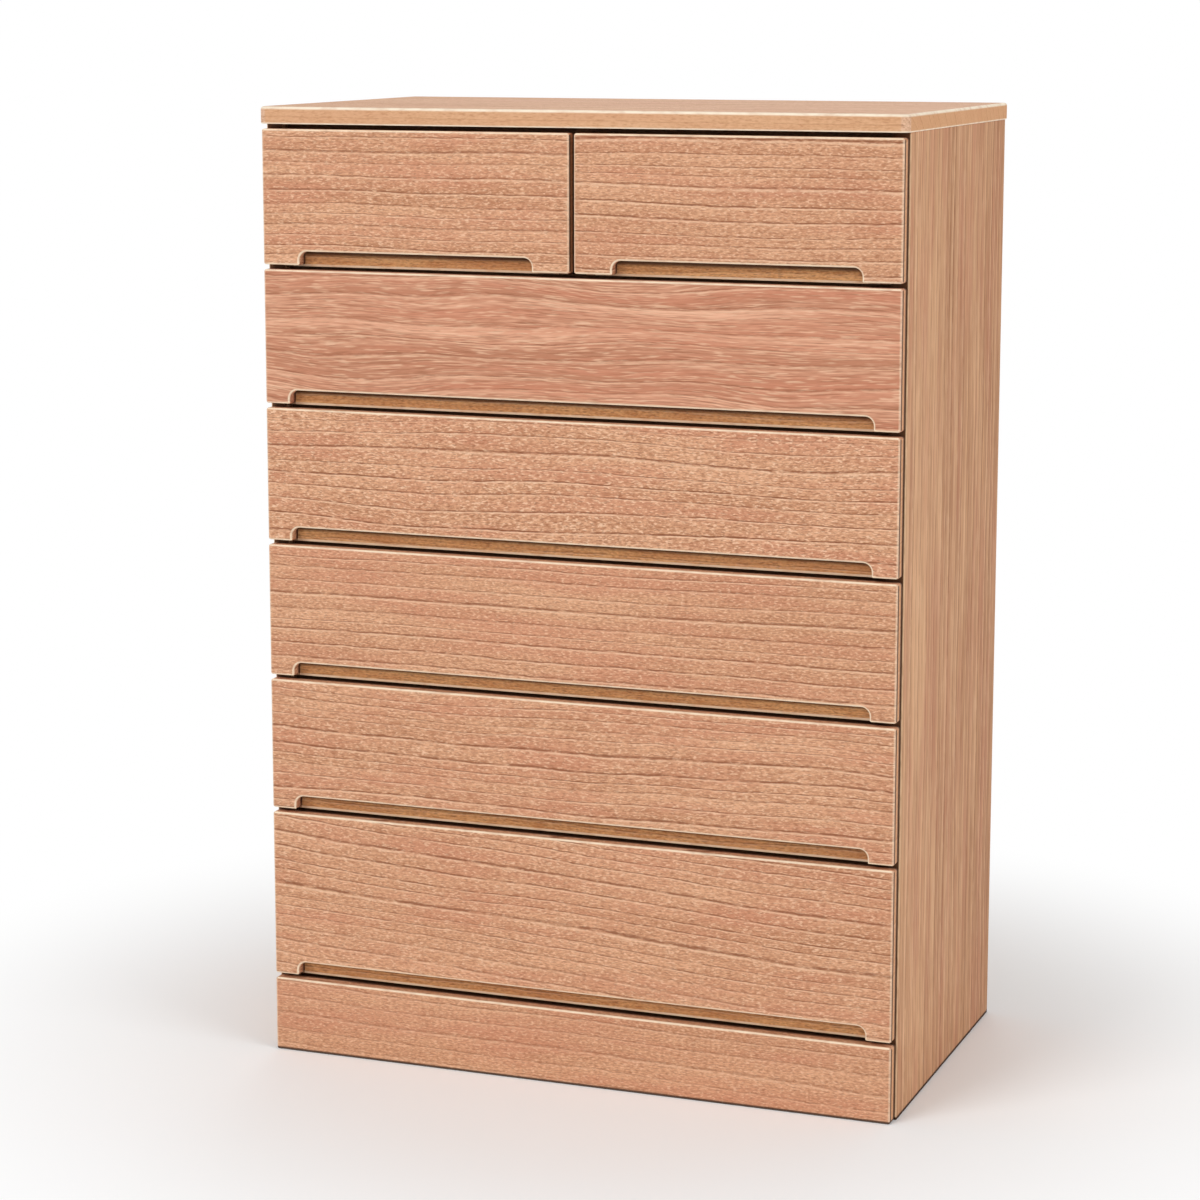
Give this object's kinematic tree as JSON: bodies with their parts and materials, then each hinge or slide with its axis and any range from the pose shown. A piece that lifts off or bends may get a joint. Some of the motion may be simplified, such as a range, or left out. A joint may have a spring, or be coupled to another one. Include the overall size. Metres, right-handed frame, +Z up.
{
  "type": "chest of drawers",
  "caption": "Free-standing wooden clothes chest: rows of drawers on wooden runners, slotted finger pulls in the fronts' lower edges, a flat top and a closed plinth.",
  "frame": {"origin": "on the floor below the middle of the chest, midway between its sides and between its front and back", "axes": "+X to the right seen from the front, +Y from the front to the back, +Z up; the drawers open towards -Y"},
  "size_m": [0.7, 0.4, 1.02],
  "materials": {
    "front_kiri": "satin, waxed paulownia, grain across",
    "side_kiri": "satin, waxed paulownia, grain upright",
    "top_kiri": "satin, waxed paulownia, grain across",
    "carcass_kiri": "plain planed paulownia",
    "runner_kiri": "planed paulownia, waxed by use",
    "box_front_kiri": "planed paulownia, a little darker",
    "drawer_box_kiri": "plain planed paulownia",
    "drawer_bottom_kiri": "thin plain paulownia board",
    "back_kiri": "thin plain paulownia board, grain upright",
    "screw_steel": "zinc-plated steel"
  },
  "bodies": {
    "carcass": {"side_panel_left": "side_kiri", "side_panel_right": "side_kiri", "top_board": "top_kiri", "bottom_board": "carcass_kiri", "back_panel": "back_kiri", "back_panel_screws": "screw_steel", "plinth_front": "front_kiri", "plinth_rear": "carcass_kiri", "rail_top": "carcass_kiri", "rail_1": "carcass_kiri", "rail_2": "carcass_kiri", "rail_3": "carcass_kiri", "rail_4": "carcass_kiri", "rail_5": "carcass_kiri", "runners_left": "runner_kiri", "runners_right": "runner_kiri", "centre_partition": "carcass_kiri", "centre_runners": "runner_kiri"},
    "drawer_1_left": {"drawer_1_left_front": "front_kiri", "drawer_1_left_box_front": "box_front_kiri", "drawer_1_left_side_left": "drawer_box_kiri", "drawer_1_left_side_right": "drawer_box_kiri", "drawer_1_left_box_back": "drawer_box_kiri", "drawer_1_left_bottom": "drawer_bottom_kiri"},
    "drawer_1_right": {"drawer_1_right_front": "front_kiri", "drawer_1_right_box_front": "box_front_kiri", "drawer_1_right_side_left": "drawer_box_kiri", "drawer_1_right_side_right": "drawer_box_kiri", "drawer_1_right_box_back": "drawer_box_kiri", "drawer_1_right_bottom": "drawer_bottom_kiri"},
    "drawer_2": {"drawer_2_front": "front_kiri", "drawer_2_box_front": "box_front_kiri", "drawer_2_side_left": "drawer_box_kiri", "drawer_2_side_right": "drawer_box_kiri", "drawer_2_box_back": "drawer_box_kiri", "drawer_2_bottom": "drawer_bottom_kiri"},
    "drawer_3": {"drawer_3_front": "front_kiri", "drawer_3_box_front": "box_front_kiri", "drawer_3_side_left": "drawer_box_kiri", "drawer_3_side_right": "drawer_box_kiri", "drawer_3_box_back": "drawer_box_kiri", "drawer_3_bottom": "drawer_bottom_kiri"},
    "drawer_4": {"drawer_4_front": "front_kiri", "drawer_4_box_front": "box_front_kiri", "drawer_4_side_left": "drawer_box_kiri", "drawer_4_side_right": "drawer_box_kiri", "drawer_4_box_back": "drawer_box_kiri", "drawer_4_bottom": "drawer_bottom_kiri"},
    "drawer_5": {"drawer_5_front": "front_kiri", "drawer_5_box_front": "box_front_kiri", "drawer_5_side_left": "drawer_box_kiri", "drawer_5_side_right": "drawer_box_kiri", "drawer_5_box_back": "drawer_box_kiri", "drawer_5_bottom": "drawer_bottom_kiri"},
    "drawer_6": {"drawer_6_front": "front_kiri", "drawer_6_box_front": "box_front_kiri", "drawer_6_side_left": "drawer_box_kiri", "drawer_6_side_right": "drawer_box_kiri", "drawer_6_box_back": "drawer_box_kiri", "drawer_6_bottom": "drawer_bottom_kiri"}
  },
  "joints": [
    {"name": "drawer_1_left_slide", "type": "slide", "parent": "carcass", "child": "drawer_1_left", "axis": [0, -1, 0], "range_m": [0, 0.26]},
    {"name": "drawer_1_right_slide", "type": "slide", "parent": "carcass", "child": "drawer_1_right", "axis": [0, -1, 0], "range_m": [0, 0.26]},
    {"name": "drawer_2_slide", "type": "slide", "parent": "carcass", "child": "drawer_2", "axis": [0, -1, 0], "range_m": [0, 0.26]},
    {"name": "drawer_3_slide", "type": "slide", "parent": "carcass", "child": "drawer_3", "axis": [0, -1, 0], "range_m": [0, 0.26]},
    {"name": "drawer_4_slide", "type": "slide", "parent": "carcass", "child": "drawer_4", "axis": [0, -1, 0], "range_m": [0, 0.26]},
    {"name": "drawer_5_slide", "type": "slide", "parent": "carcass", "child": "drawer_5", "axis": [0, -1, 0], "range_m": [0, 0.26]},
    {"name": "drawer_6_slide", "type": "slide", "parent": "carcass", "child": "drawer_6", "axis": [0, -1, 0], "range_m": [0, 0.26]}
  ]
}
